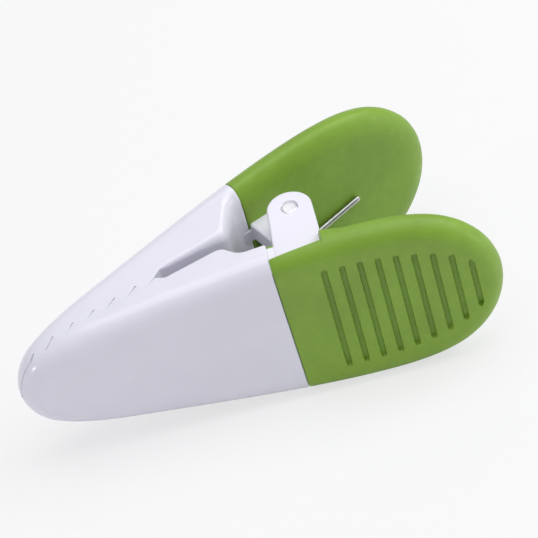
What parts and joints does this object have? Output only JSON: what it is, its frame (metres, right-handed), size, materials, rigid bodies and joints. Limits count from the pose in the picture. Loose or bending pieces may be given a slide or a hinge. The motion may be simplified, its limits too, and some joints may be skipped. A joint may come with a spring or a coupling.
{
  "type": "bag clip",
  "caption": "Hand-squeezed spring clip with long toothed jaws and soft grooved grips, hinged on a steel pin, for holding food bags closed.",
  "frame": {"origin": "centre of the bounding box in plan, on the surface that the side edges stand on", "axes": "+X from the jaws' nose to the handles, +Z along the hinge pin, -Y towards the front lever's outer face"},
  "size_m": [0.1078, 0.053, 0.0434],
  "materials": {
    "jaw_plastic": "smooth moulded gloss, faintly bluish white",
    "soft_grip": "satin overmoulded soft grip, leaf green",
    "pin_steel": "drawn steel rod, bright cut end",
    "spring_steel": "plated spring wire"
  },
  "bodies": {
    "front_lever": {"front_jaw": "jaw_plastic", "front_grip": "soft_grip", "pivot_pin": "pin_steel", "torsion_spring": "spring_steel"},
    "rear_lever": {"rear_jaw": "jaw_plastic", "rear_grip": "soft_grip"}
  },
  "joints": [
    {"name": "jaw_hinge", "type": "hinge", "parent": "front_lever", "child": "rear_lever", "pos_m": [0.01579, 0, 0.02168], "axis": [0, 0, -1], "range_deg": [0, 56.5], "stiffness_Nm_per_rad": 0.25, "springref_deg": -57.3, "deforming": ["torsion_spring"]}
  ]
}
